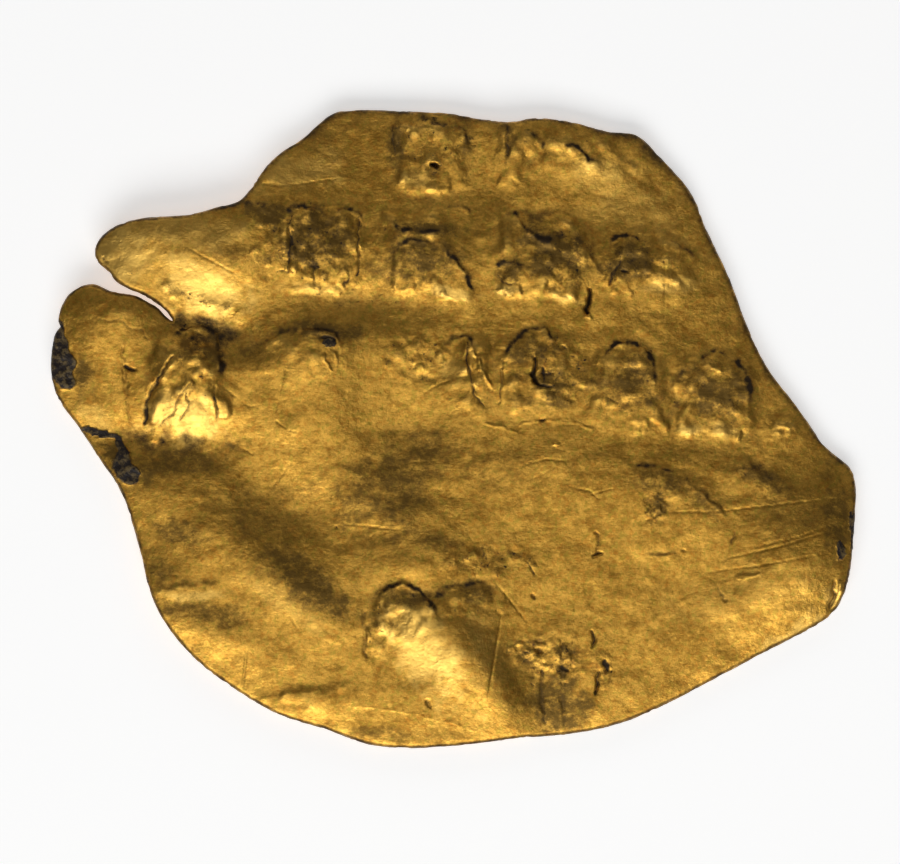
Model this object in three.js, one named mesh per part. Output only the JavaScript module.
// A hammered gold kopeck: one thin scale of struck metal, torn at its left side, lying with
// the worn rows of its inscription up and its rider down. Millimetres, +Z up. The origin is
// on the surface that the coin lies on, under the middle of its outline. +X runs along the
// rows of the inscription, and +Y from its last row to its first.
import * as THREE from 'three';

// The flan, over its furthest points, and its metal away from the edge.
const FLAN_LENGTH = 14.5;
const FLAN_WIDTH = 11.5;
const FLAN_THICKNESS = 0.38;

// Towards the edge each face falls, and the edge itself is round.
const EDGE_FALL = 0.06;
const EDGE_FALL_REACH = 0.4;
const EDGE_ROUND = 0.09;
const ROUND_SHARE_OF_EDGE = 0.35;

// The flan bulges upwards and is bent into swells. The spots that it lies on are rubbed flat.
const DOME_RISE = 0.15;
const SWELL_RISE = 0.2;
const SEAT_WEAR = 0.04;

// What the dies left: the marks of the inscription above, and the rider below. A mark's
// pillow is steep at its upper side and runs out softly at its foot.
const PILLOW_RISE = 0.06;
const PILLOW_UPPER_SHOULDER = 0.09;
const PILLOW_LOWER_SHOULDER = 0.3;
const PILLOW_SQUARENESS = 2.6;
const STROKE_RISE = 0.045;
const STROKE_WIDTH = 0.32;
const RIDER_RISE = 0.09;
const RIDER_SPAN = 7.6;
const RIDER_MIDDLE = [0.2, -0.2];

// A ridge slopes to its foot over this length, but is flat over this share of its half width.
const RIDGE_SLOPE = 0.25;
const CREST_SHARE = 0.25;

// A mark's relief ends at this many times the size of its cell, and most of it much nearer.
const MARK_REACH = 1.9;
const MARK_CORE = 1.3;

// How finely the edge and the two faces are divided: the faces where they carry the dies'
// work, and both of them elsewhere. Points keep apart by a share of that.
const EDGE_STEP = 0.21;
const TOP_STEP = 0.15;
const UNDER_STEP = 0.2;
const PLAIN_STEP = 0.42;
const APART = 0.6;

// A shift this small keeps points off one another's circles, and a gap this small is none.
const NUDGE = 1e-4;
const NO_GAP = 1e-9;

const GOLD = { color: 0xb98a32, roughness: 0.38, metalness: 1.0 };

const DEGREE = Math.PI / 180;

// The outline, in percent of the flan's length and width from its middle, one stretch after
// another from the tip of the torn tongue, over the top and round to the tear.
const OUTLINE = {
  tongue: [[-44.5, 27.6], [-44.0, 29.5], [-42.5, 31.3], [-39.8, 32.7], [-36.3, 33.2], [-32.8, 33.5],
    [-29.5, 34.6], [-26.5, 35.7]],
  shoulder: [[-24.9, 38.0], [-23.4, 40.8], [-21.4, 43.3], [-18.7, 45.5], [-16.6, 48.0], [-14.6, 49.6]],
  top: [[-12.0, 50.0], [-6.6, 49.8], [-0.4, 49.4], [3.3, 48.6], [7.1, 48.1], [10.2, 48.7],
    [14.7, 48.1], [19.2, 46.6], [22.6, 46.1]],
  right: [[25.9, 42.4], [29.6, 36.9], [31.6, 31.0], [34.4, 23.5], [36.7, 15.7], [39.0, 9.8],
    [43.2, 2.8], [46.2, -2.6]],
  corner: [[49.4, -6.2], [50.0, -8.6], [49.8, -15.7], [49.3, -22.3], [48.3, -26.6], [46.8, -29.3]],
  bottom: [[37.5, -35.8], [23.2, -45.0], [18.2, -47.0], [13.3, -48.0], [8.3, -48.4], [2.1, -49.4],
    [-5.3, -50.0], [-10.5, -49.4], [-15.9, -47.0]],
  belly: [[-21.7, -44.7], [-27.0, -40.8], [-31.8, -36.3], [-35.7, -30.5], [-37.7, -25.2],
    [-39.0, -18.5], [-41.4, -9.5]],
  lobe: [[-43.9, -4.8], [-46.7, 0.5], [-49.2, 5.1], [-50.0, 9.2], [-49.8, 13.1], [-49.3, 15.3],
    [-48.8, 16.0], [-49.1, 16.8], [-48.6, 19.3], [-47.1, 21.8], [-44.7, 22.7], [-42.5, 21.6]],
  tear: [[-40.8, 21.2], [-39.4, 20.85], [-38.0, 20.05], [-36.5, 18.8], [-35.8, 17.8], [-34.9, 17.0],
    [-35.5, 18.1], [-36.9, 19.65], [-38.6, 20.95], [-40.1, 21.75], [-41.8, 23.0], [-42.9, 24.7],
    [-44.1, 26.0]],
};

// The swells. at is a place in percent of length and width, reach is how far a swell runs
// along and across itself in percent of the length, turn is in degrees from +X, and rise is
// a share of SWELL_RISE.
const SWELLS = [
  { name: 'tongue', at: [-32, 33.5], reach: [9, 4.8], turn: -6, rise: 1.2 },
  { name: 'lower half of the tongue', at: [-28, 25], reach: [6, 2.4], turn: -24, rise: 0.45 },
  { name: 'valley along the tear', at: [-29.5, 15.2], reach: [4.6, 1.7], turn: -20, rise: -0.8 },
  { name: 'lobe below the tear', at: [-32.6, 8.8], reach: [3.4, 3.8], turn: 8, rise: 0.9 },
  { name: 'lobe edge', at: [-42, 18.6], reach: [4.6, 4.6], turn: 8, rise: 1 },
  { name: 'hump beside the lobe', at: [-19, 12.4], reach: [5.8, 2.6], turn: 4, rise: 0.7 },
  { name: 'slope under the hump', at: [-18, 4.5], reach: [4.6, 3.6], turn: -10, rise: 0.4 },
  { name: 'valley under the lobe', at: [-37, -1.8], reach: [6, 1.9], turn: -6, rise: -0.8 },
  { name: 'valley to the middle', at: [-6, 0], reach: [5.5, 4.4], turn: -20, rise: -0.5 },
  { name: 'hump left of the ridge', at: [-36, -25], reach: [3.4, 2], turn: -10, rise: 0.3 },
  { name: 'long ridge', at: [-23, -22.5], reach: [9.5, 2.3], turn: -34, rise: 0.6 },
  { name: 'slope below the ridge', at: [-24, -30], reach: [8, 3.4], turn: -34, rise: 0.25 },
  { name: 'valley above the ridge', at: [-20, -10.5], reach: [8.6, 3], turn: -32, rise: -0.65 },
  { name: 'middle', at: [-6, -15], reach: [7, 2.4], turn: -24, rise: 0.35 },
  { name: 'below the middle', at: [-3, -21.5], reach: [5.2, 1.8], turn: -8, rise: 0.45 },
  { name: 'slanting ridge', at: [0.4, -34.5], reach: [6.6, 3], turn: -46, rise: 1.15 },
  { name: 'behind the slanting ridge', at: [10, -40.5], reach: [4.2, 2.3], turn: -60, rise: -0.45 },
  { name: 'foot of the rim', at: [13, -49], reach: [4.5, 3], turn: 10, rise: -0.15 },
  { name: 'right corner', at: [44, -19.5], reach: [7.5, 5.4], turn: 24, rise: 1.15 },
  { name: 'right side', at: [30, -16], reach: [8, 4], turn: 20, rise: 0.25 },
  { name: 'broad right side', at: [20, -8], reach: [12, 4], turn: -10, rise: 0.4 },
  { name: 'lower left fold', at: [-15.5, -42.5], reach: [6, 1.2], turn: 8, rise: 0.15 },
  { name: 'left pinch', at: [-31, -31.5], reach: [4.6, 1.6], turn: -16, rise: 0.35 },
  { name: 'band of the first row', at: [11, 48], reach: [15, 3.8], turn: -6, rise: 0.6 },
  { name: 'shoulder', at: [-22, 42], reach: [4, 3], turn: 40, rise: 0.45 },
  { name: 'band of the second row', at: [5, 26.6], reach: [17, 3.6], turn: -6, rise: 0.42 },
  { name: 'step before the second row', at: [-21.5, 28.6], reach: [5, 3], turn: -12, rise: 0.35 },
  { name: 'band of the third row', at: [20, 9], reach: [15, 3.2], turn: -4, rise: 0.3 },
  { name: 'gap between the rows', at: [-10, 19.5], reach: [6, 1.6], turn: -4, rise: -0.3 },
];

// The inscription's marks. Each has a place as above, its half width and half height in
// percent of the length, a lean in degrees and a kind. They are worn strokes, not letters.
const ROWS = {
  first: [
    { at: [-2.7, 43], half: [4.3, 3.5], lean: 4, kind: 'arch' },
    { at: [7.2, 43.4], half: [1.7, 3.4], lean: -7, kind: 'bar' },
    { at: [15.5, 42.6], half: [4.3, 2.6], lean: -12, kind: 'steps' },
  ],
  second: [
    { at: [-16.4, 28.4], half: [5, 4.7], lean: 2, kind: 'comb' },
    { at: [-3.6, 27.4], half: [5.2, 4.6], lean: -4, kind: 'crook' },
    { at: [10.8, 27.2], half: [5.4, 4.8], lean: 0, kind: 'wedges' },
    { at: [24.2, 25.7], half: [4.7, 3.4], lean: -6, kind: 'steps' },
  ],
  third: [
    { at: [-33.3, 7.2], half: [4.4, 5.4], lean: 8, kind: 'arch' },
    { at: [-18.4, 10.6], half: [5.2, 3.4], lean: 2, kind: 'brow' },
    { at: [2.4, 8.6], half: [2.6, 4.4], lean: -14, kind: 'bar' },
    { at: [10.2, 9], half: [4.2, 4.6], lean: 6, kind: 'crook' },
    { at: [21.6, 6.2], half: [4.6, 4.8], lean: -6, kind: 'arch' },
    { at: [32.2, 5.2], half: [4.6, 4.8], lean: 3, kind: 'arch' },
    { at: [40.6, 0.4], half: [1.7, 1.3], lean: 0, kind: 'dash' },
  ],
  fourth: [
    { at: [27.4, -9.6], half: [4.6, 2.2], lean: -16, kind: 'steps' },
    { at: [37.4, -7.6], half: [3.2, 1.7], lean: -12, kind: 'brow' },
  ],
  fifth: [
    { at: [-5.8, -29.4], half: [3.6, 2.8], lean: -10, kind: 'brow' },
    { at: [2.2, -27.6], half: [4.2, 2.4], lean: 6, kind: 'brow' },
    { at: [11.4, -35.2], half: [3.8, 3], lean: -10, kind: 'dashes' },
  ],
};

// The rider, as seen from below with the horse facing right, in a cell that runs from -1 to 1
// both ways. Each limb is a line with its half width at both ends.
const RIDER = {
  body: { line: [[-0.43, -0.22], [0.38, -0.17]], half: [0.25, 0.22] },
  neck: { line: [[0.43, -0.12], [0.69, 0.31]], half: [0.18, 0.11] },
  head: { line: [[0.69, 0.36], [0.95, 0.2]], half: [0.11, 0.07] },
  leadingForeleg: { line: [[0.43, -0.29], [0.78, -0.45], [0.66, -0.75]], half: [0.1, 0.06] },
  foreleg: { line: [[0.33, -0.33], [0.4, -0.95]], half: [0.1, 0.06] },
  hindLeg: { line: [[-0.48, -0.33], [-0.69, -0.64], [-0.55, -1]], half: [0.12, 0.06] },
  farHindLeg: { line: [[-0.33, -0.38], [-0.4, -0.71], [-0.24, -1]], half: [0.1, 0.06] },
  tail: { line: [[-0.67, -0.14], [-0.93, -0.26], [-0.98, -0.67]], half: [0.07, 0.05] },
  torso: { line: [[-0.07, 0.05], [0.02, 0.48]], half: [0.16, 0.17] },
  riderHead: { line: [[0.06, 0.74], [0.07, 0.8]], half: [0.11, 0.1] },
  arm: { line: [[0.08, 0.43], [0.36, 0.32]], half: [0.09, 0.07] },
  cloak: { line: [[-0.1, 0.5], [-0.38, 0.33], [-0.62, 0.45]], half: [0.1, 0.06] },
  spear: { line: [[-0.52, 1], [1.07, -0.29]], half: [0.05, 0.05] },
};

const ringOf = (list, i) => list[(i + list.length) % list.length];

// A place in percent of the length and width, in millimetres.
const place = ([u, v]) => new THREE.Vector2((u / 100) * FLAN_LENGTH, (v / 100) * FLAN_WIDTH);

// A size in percent of the length, in millimetres.
const share = (percent) => (percent / 100) * FLAN_LENGTH;

// A small shift for the point of this number, the same each time and in no order.
function nudge(number) {
  const turns = [12.9898, 78.233].map((factor) => factor * (number + 1));
  return new THREE.Vector2(...turns.map(Math.sin)).multiplyScalar(NUDGE);
}

function smoothStep(from, to, value) {
  const t = THREE.MathUtils.clamp((value - from) / (to - from), 0, 1);
  return t * t * (3 - 2 * t);
}

// Where a point stands along the segment a b, as a share of it, and how far off.
function reachSegment(p, a, b) {
  const span = b.clone().sub(a);
  const along = THREE.MathUtils.clamp(p.clone().sub(a).dot(span) / span.lengthSq(), 0, 1);
  return { along, off: p.distanceTo(a.clone().addScaledVector(span, along)) };
}

function insidePolygon(p, ring) {
  let inside = false;
  ring.forEach((a, i) => {
    const b = ringOf(ring, i - 1);
    if (a.y > p.y !== b.y > p.y && p.x < ((b.x - a.x) * (p.y - a.y)) / (b.y - a.y) + a.x) {
      inside = !inside;
    }
  });
  return inside;
}

// The outline as a closed ring, fitted to the flan's own length and width.
function outlineRing() {
  const corners = Object.values(OUTLINE).flat().map(([u, v]) => new THREE.Vector3(u, v, 0));
  const curve = new THREE.CatmullRomCurve3(corners, true, 'centripetal');
  const ring = [];
  corners.forEach((corner, i) => {
    const spanLength = place([corner.x, corner.y]).distanceTo(
      place([ringOf(corners, i + 1).x, ringOf(corners, i + 1).y]),
    );
    const steps = Math.max(1, Math.round(spanLength / EDGE_STEP));
    for (let k = 0; k < steps; k += 1) {
      const point = curve.getPoint((i + k / steps) / corners.length);
      ring.push(place([point.x, point.y]));
    }
  });
  const box = new THREE.Box2().setFromPoints(ring);
  const middle = box.getCenter(new THREE.Vector2());
  const size = box.getSize(new THREE.Vector2());
  const fit = new THREE.Vector2(FLAN_LENGTH / size.x, FLAN_WIDTH / size.y);
  ring.forEach((p) => p.sub(middle).multiply(fit));
  return THREE.ShapeUtils.isClockWise(ring) ? ring.reverse() : ring;
}

// The ring moved into the metal. Averaging the directions keeps it in order at the notches.
function insetRing(ring, depth) {
  const inward = ring.map((p, i) => {
    const along = ringOf(ring, i + 1).clone().sub(ringOf(ring, i - 1));
    return new THREE.Vector2(-along.y, along.x).normalize();
  });
  return ring.map((p, i) => {
    const direction = new THREE.Vector2();
    for (let k = -2; k <= 2; k += 1) direction.addScaledVector(ringOf(inward, i + k), 3 - Math.abs(k));
    return p.clone().addScaledVector(direction.normalize(), depth);
  });
}

function distanceToRing(p, ring) {
  return Math.min(...ring.map((a, i) => reachSegment(p, a, ringOf(ring, i + 1)).off));
}

// A bow, as a line of points: an arc of an ellipse between two angles in degrees.
function bow(x, y, halfWidth, halfHeight, from, to) {
  const steps = 5;
  return Array.from({ length: steps + 1 }, (_, i) => {
    const angle = (from + ((to - from) * i) / steps) * DEGREE;
    return [x + halfWidth * Math.cos(angle), y + halfHeight * Math.sin(angle)];
  });
}

// The strokes of each kind of mark, in a cell that runs from -1 to 1 both ways. They stand
// apart, as worn strokes do.
const MARK_STROKES = {
  arch: [bow(0, -0.2, 0.72, 0.95, 150, 35), [[-0.75, -0.4], [-0.9, -0.8]], [[0.15, -0.1], [-0.15, -0.3]],
    [[0.7, -0.5], [0.95, -0.75]]],
  brow: [bow(0, -0.9, 0.85, 1.45, 150, 30)],
  bar: [[[-0.4, 0.85], [-0.3, 0.1]], [[0.45, 0.4], [0.3, -0.8]]],
  steps: [bow(-0.5, -0.2, 0.4, 0.75, 140, 30), [[0.1, -0.2], [0.55, -0.35]], [[-0.8, -0.5], [-0.85, -0.85]]],
  comb: [[[-0.85, 0.7], [-0.35, 0.85]], [[-0.8, 0.2], [-0.75, -0.6]], [[-0.25, 0.3], [-0.35, -0.3]],
    [[0.25, -0.3], [0.1, -0.85]], [[0.7, 0.75], [0.85, 0]], [[0.7, -0.55], [0.75, -0.9]]],
  crook: [[[-0.85, 0.75], [-0.45, 0.45]], bow(0.2, -0.4, 0.6, 0.9, 95, 20), [[-0.55, -0.2], [-0.7, -0.85]],
    [[0.3, -0.6], [0.4, -0.9]]],
  wedges: [[[-0.8, 0.8], [-0.75, 0.15]], [[-0.7, -0.4], [-0.75, -0.9]], [[-0.25, 0.55], [0.15, 0.3]],
    [[0.1, -0.3], [0, -0.85]], [[0.55, 0.75], [0.8, 0.2]], [[0.8, -0.35], [0.7, -0.85]]],
  dash: [[[-0.5, 0], [0.5, -0.2]]],
  dashes: [[[-0.85, 0.3], [-0.45, 0.55]], [[-0.4, -0.5], [-0.05, -0.3]], [[0.3, 0.5], [0.7, 0.25]],
    [[0.45, -0.7], [0.8, -0.55]]],
};

const swellPlaces = SWELLS.map((swell) => ({
  middle: place(swell.at),
  along: share(swell.reach[0]),
  across: share(swell.reach[1]),
  turn: swell.turn * DEGREE,
  rise: swell.rise * SWELL_RISE,
}));

// A point in the axes of something that is turned about its middle.
function turnedInto(p, { middle, turn }) {
  return p.clone().sub(middle).rotateAround(new THREE.Vector2(), -turn);
}

// How high the middle of the metal is bent at a place.
function bend(p) {
  const outward = Math.hypot(p.x / (FLAN_LENGTH / 2), p.y / (FLAN_WIDTH / 2));
  return swellPlaces.reduce((height, swell) => {
    const local = turnedInto(p, swell);
    const spread = (local.x / swell.along) ** 2 + (local.y / swell.across) ** 2;
    return height + swell.rise * Math.exp(-spread / 2);
  }, DOME_RISE * (1 - outward ** 2));
}

const marks = Object.values(ROWS).flat().map((mark) => {
  const cell = {
    middle: place(mark.at),
    turn: mark.lean * DEGREE,
    halfWidth: share(mark.half[0]),
    halfHeight: share(mark.half[1]),
  };
  const outOfCell = ([x, y]) => new THREE.Vector2(x * cell.halfWidth, y * cell.halfHeight)
    .rotateAround(new THREE.Vector2(), cell.turn)
    .add(cell.middle);
  return { ...cell, outOfCell, strokes: MARK_STROKES[mark.kind].map((line) => line.map(outOfCell)) };
});

// A round ridge along a line of points, from 1 on its crest to 0 at its half width.
function ridge(p, line, halfStart, halfEnd) {
  let best = 0;
  for (let i = 0; i + 1 < line.length; i += 1) {
    const { along, off } = reachSegment(p, line[i], line[i + 1]);
    const half = THREE.MathUtils.lerp(halfStart, halfEnd, (i + along) / (line.length - 1));
    const crestHalf = Math.max(half - RIDGE_SLOPE, CREST_SHARE * half);
    best = Math.max(best, 1 - smoothStep(crestHalf, half, off));
  }
  return best;
}

// A point in a mark's cell, which runs from -1 to 1 both ways.
function inCell(p, mark) {
  return turnedInto(p, mark).divide(new THREE.Vector2(mark.halfWidth, mark.halfHeight));
}

// The height of the inscription: each mark is a low pillow that carries its strokes.
function inscription(p) {
  return marks.reduce((height, mark) => {
    const cell = inCell(p, mark);
    if (cell.length() > MARK_REACH) return height;
    const upward = (1 + Math.sin(cell.angle())) / 2;
    const shoulder = THREE.MathUtils.lerp(PILLOW_LOWER_SHOULDER, PILLOW_UPPER_SHOULDER, upward)
      / Math.min(mark.halfWidth, mark.halfHeight);
    const outward = (Math.abs(cell.x) ** PILLOW_SQUARENESS + Math.abs(cell.y) ** PILLOW_SQUARENESS)
      ** (1 / PILLOW_SQUARENESS);
    const pillow = 1 - smoothStep(1 - shoulder, 1 + shoulder, outward);
    const strokeHalf = STROKE_WIDTH / 2;
    const crest = Math.max(...mark.strokes.map((line) => ridge(p, line, strokeHalf, strokeHalf)));
    return Math.max(height, PILLOW_RISE * pillow + STROKE_RISE * crest);
  }, 0);
}

// The rider seen from below is mirrored left to right in the frame that looks down.
const riderLimbs = Object.values(RIDER).map(({ line, half }) => ({
  line: line.map(([x, y]) => new THREE.Vector2(-x, y).multiplyScalar(RIDER_SPAN / 2)
    .add(new THREE.Vector2(...RIDER_MIDDLE))),
  half: half.map((reach) => reach * (RIDER_SPAN / 2)),
}));

function rider(p) {
  return Math.max(...riderLimbs.map(({ line, half }) => ridge(p, line, half[0], half[1])));
}

// Points along a line, both ends included.
function pointsAlong(line, step) {
  return line.slice(1).flatMap((to, i) => {
    const steps = Math.max(1, Math.round(to.distanceTo(line[i]) / step));
    return Array.from({ length: steps + 1 }, (_, k) => line[i].clone().lerp(to, k / steps));
  });
}

// An even three-way lattice over the flan. Away from the worked spots only every nth point of
// every nth row is kept, which is the same lattice with a longer step.
function latticePoints(step, isWorked) {
  const every = Math.max(1, Math.round(PLAIN_STEP / step));
  const rowStep = (step * Math.sqrt(3)) / 2;
  const rows = Math.ceil(FLAN_WIDTH / 2 / rowStep);
  const columns = Math.ceil((FLAN_LENGTH / step + rows) / 2);
  const points = [];
  for (let row = -rows; row <= rows; row += 1) {
    for (let column = -columns; column <= columns; column += 1) {
      const p = new THREE.Vector2((column + row / 2) * step, row * rowStep);
      if ((row % every === 0 && column % every === 0) || isWorked(p)) points.push(p);
    }
  }
  return points;
}

// The points of one face: its ring, the crests of its ridges, and the lattice wherever there
// is room between them.
function facePoints(ring, crests, step, isWorked) {
  const kept = ring.map((p, i) => p.clone().add(nudge(i)));
  [...crests.flatMap((line) => pointsAlong(line, step)), ...latticePoints(step, isWorked)].forEach((p) => {
    if (!insidePolygon(p, ring) || distanceToRing(p, ring) < APART * EDGE_STEP) return;
    if (kept.some((other) => other.distanceTo(p) < APART * step)) return;
    kept.push(p.clone().add(nudge(kept.length)));
  });
  return kept;
}

// The circle through three points, as its middle and its squared radius.
function circleThrough(a, b, c) {
  const d = 2 * (a.x * (b.y - c.y) + b.x * (c.y - a.y) + c.x * (a.y - b.y));
  const x = (a.lengthSq() * (b.y - c.y) + b.lengthSq() * (c.y - a.y) + c.lengthSq() * (a.y - b.y)) / d;
  const y = (a.lengthSq() * (c.x - b.x) + b.lengthSq() * (a.x - c.x) + c.lengthSq() * (b.x - a.x)) / d;
  return { x, y, radiusSq: (a.x - x) ** 2 + (a.y - y) ** 2 };
}

// Triangles between the points, each with no point in its circle, found by adding the points
// one by one inside a triangle far round them all. The triangles face up.
function triangulate(points) {
  const far = 10 * Math.max(FLAN_LENGTH, FLAN_WIDTH);
  const around = [[-far, -far], [far, -far], [0, far]].map(([x, y]) => new THREE.Vector2(x, y));
  const all = [...points, ...around];
  const triangle = (a, b, c) => ({ corners: [a, b, c], circle: circleThrough(all[a], all[b], all[c]) });
  let triangles = [triangle(points.length, points.length + 1, points.length + 2)];
  points.forEach((p, index) => {
    const open = new Map();
    triangles = triangles.filter(({ corners, circle }) => {
      if ((p.x - circle.x) ** 2 + (p.y - circle.y) ** 2 >= circle.radiusSq) return true;
      corners.forEach((from, i) => {
        const to = corners[(i + 1) % 3];
        if (!open.delete(`${to} ${from}`)) open.set(`${from} ${to}`, [from, to]);
      });
      return false;
    });
    open.forEach(([from, to]) => triangles.push(triangle(from, to, index)));
  });
  return triangles.map(({ corners }) => corners).filter((corners) => Math.max(...corners) < points.length);
}

// One face of the coin: its points and the triangles that lie in the metal.
function face(ring, crests, step, isWorked) {
  const points = facePoints(ring, crests, step, isWorked);
  const outline = points.slice(0, ring.length);
  const triangles = triangulate(points).filter((corners) => {
    const middle = new THREE.Vector2();
    corners.forEach((i) => middle.addScaledVector(points[i], 1 / 3));
    return insidePolygon(middle, outline);
  });
  return { points, triangles };
}

// The plane that a face comes to rest on: it touches three of the points, the flan's middle
// lies between them, and no point is below it. Each turn swaps in the point furthest below.
function restingPlane(points) {
  const middle = new THREE.Vector2();
  const planeOf = (feet) => new THREE.Plane().setFromCoplanarPoints(...feet);
  const heightOver = (plane, p) => {
    const towards = Math.sign(plane.normal.z);
    return towards * plane.distanceToPoint(p);
  };
  const surrounds = (feet) => insidePolygon(middle, feet);
  const furthest = (turn) => points.reduce((best, p) => {
    const direction = new THREE.Vector2(Math.cos(turn), Math.sin(turn));
    return direction.dot(p) > direction.dot(best) ? p : best;
  }, points[0]);
  let feet = [0, 1, 2].map((i) => furthest((i * 120 + 30) * DEGREE));
  for (;;) {
    const plane = planeOf(feet);
    const lowest = points.reduce(
      (low, p) => (heightOver(plane, p) < heightOver(plane, low) ? p : low),
      feet[0],
    );
    if (feet.includes(lowest) || heightOver(plane, lowest) > -NO_GAP) return plane;
    feet = [0, 1, 2].map((i) => feet.map((foot, k) => (k === i ? lowest : foot))).find(surrounds);
  }
}

function coinGeometry() {
  const edge = outlineRing();
  const round = Math.min(EDGE_ROUND, (FLAN_THICKNESS - 2 * EDGE_FALL) * ROUND_SHARE_OF_EDGE);
  const ring = insetRing(edge, round);

  const edgeFall = (p) => EDGE_FALL * Math.exp(-distanceToRing(p, edge) / EDGE_FALL_REACH);
  const topHeight = (p) => bend(p) + FLAN_THICKNESS / 2 - edgeFall(p) + inscription(p);
  const underHeight = (p) => bend(p) - FLAN_THICKNESS / 2 + edgeFall(p) - RIDER_RISE * rider(p);
  const strokeLines = marks.flatMap((mark) => mark.strokes);
  const inMark = (p) => marks.some((mark) => inCell(p, mark).length() < MARK_CORE);
  const top = face(ring, strokeLines, TOP_STEP, inMark);
  const under = face(ring, riderLimbs.map(({ line }) => line), UNDER_STEP, (p) => rider(p) > 0);

  const topSkin = top.points.map((p) => new THREE.Vector3(p.x, p.y, topHeight(p)));
  const underSkin = under.points.map((p) => new THREE.Vector3(p.x, p.y, underHeight(p)));
  const rest = restingPlane(underSkin);
  const heightOf = (p) => p.z + (rest.normal.x * p.x + rest.normal.y * p.y + rest.constant) / rest.normal.z;
  const topHeights = topSkin.map((p) => heightOf(p) - SEAT_WEAR);
  const underHeights = underSkin.map((p) => Math.max(heightOf(p) - SEAT_WEAR, 0));

  const corners = [];
  const indices = [];
  const addCorner = (p, z) => corners.push(p.x, p.y, z) / 3 - 1;
  const topCorners = top.points.map((p, i) => addCorner(p, topHeights[i]));
  const underCorners = under.points.map((p, i) => addCorner(p, underHeights[i]));
  const upperEdge = edge.map((p, i) => addCorner(p, topHeights[i] - round));
  const lowerEdge = edge.map((p, i) => addCorner(p, underHeights[i] + round));

  top.triangles.forEach((t) => indices.push(...t.map((i) => topCorners[i])));
  under.triangles.forEach(([a, b, c]) => indices.push(underCorners[a], underCorners[c], underCorners[b]));
  [[underCorners, lowerEdge], [lowerEdge, upperEdge], [upperEdge, topCorners]].forEach(([low, high]) => {
    edge.forEach((_, i) => {
      const next = (i + 1) % edge.length;
      indices.push(low[i], low[next], high[next], low[i], high[next], high[i]);
    });
  });

  const geometry = new THREE.BufferGeometry();
  geometry.setAttribute('position', new THREE.Float32BufferAttribute(corners, 3));
  geometry.setIndex(indices);
  geometry.computeVertexNormals();
  return geometry;
}

const coin = new THREE.Mesh(coinGeometry(), new THREE.MeshStandardMaterial(GOLD));
coin.name = 'kopeck';

const group = new THREE.Group();
group.add(coin);

export default group;
